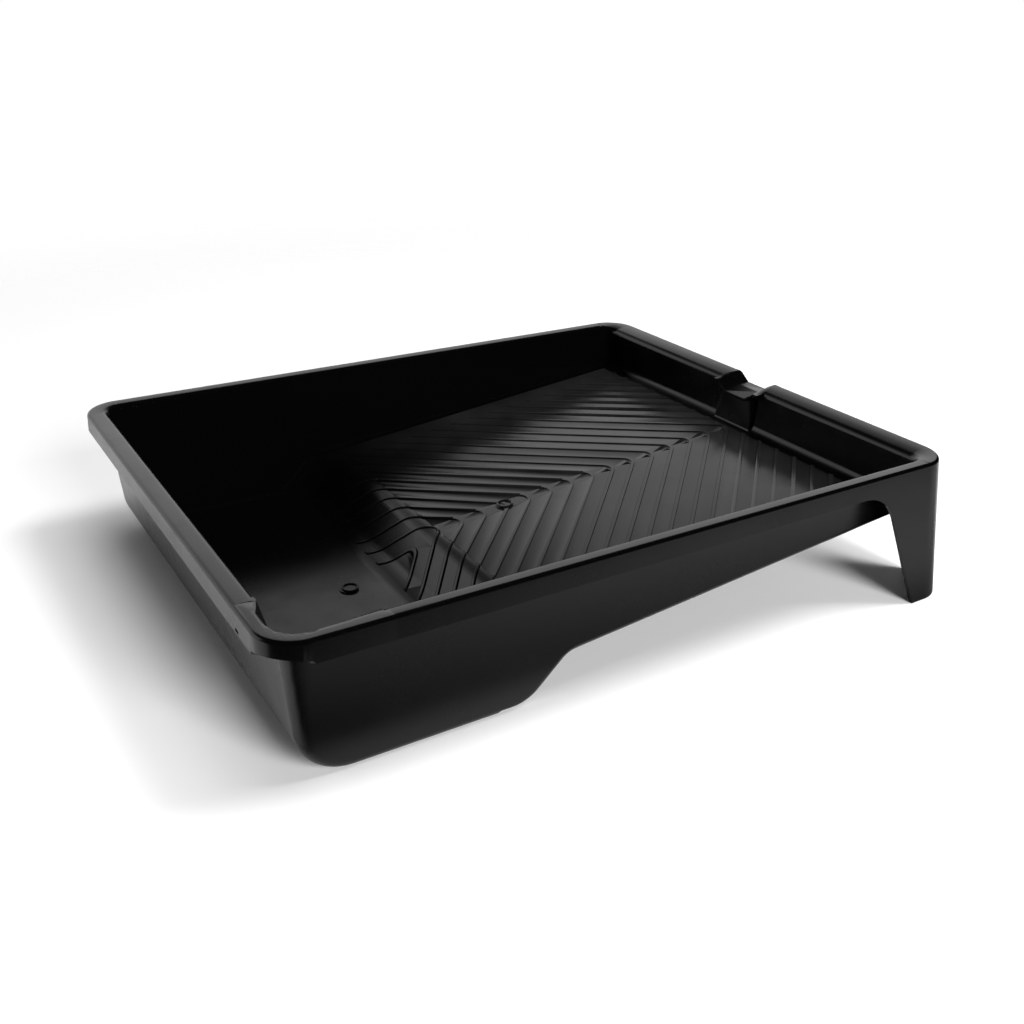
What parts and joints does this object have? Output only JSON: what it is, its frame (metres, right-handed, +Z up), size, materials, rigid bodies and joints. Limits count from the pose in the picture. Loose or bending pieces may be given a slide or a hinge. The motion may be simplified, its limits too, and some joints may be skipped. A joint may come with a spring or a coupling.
{
  "type": "paint roller tray",
  "caption": "Moulded paint roller tray with a deep well, a ribbed ramp, a flat rim with a skirt, a roller rest notch, a pour corner and splayed corner legs.",
  "frame": {"origin": "on the ground, under the middle of the tray's overall length and width", "axes": "+X from the deep end to the high end, +Y across towards the plain long side, +Z up"},
  "size_m": [0.4024, 0.3384, 0.08],
  "materials": {
    "moulding": "semi-gloss moulded polypropylene, black right through"
  },
  "bodies": {
    "root": {"well_floor": "moulding", "deep_end_wall": "moulding", "step_riser": "moulding", "ramp_deck": "moulding", "high_end_wall": "moulding", "left_side_wall": "moulding", "right_side_wall": "moulding", "deep_end_rim": "moulding", "pour_corner": "moulding", "left_rim": "moulding", "right_rim": "moulding", "high_end_rim": "moulding", "left_leg": "moulding", "right_leg": "moulding"}
  },
  "joints": []
}
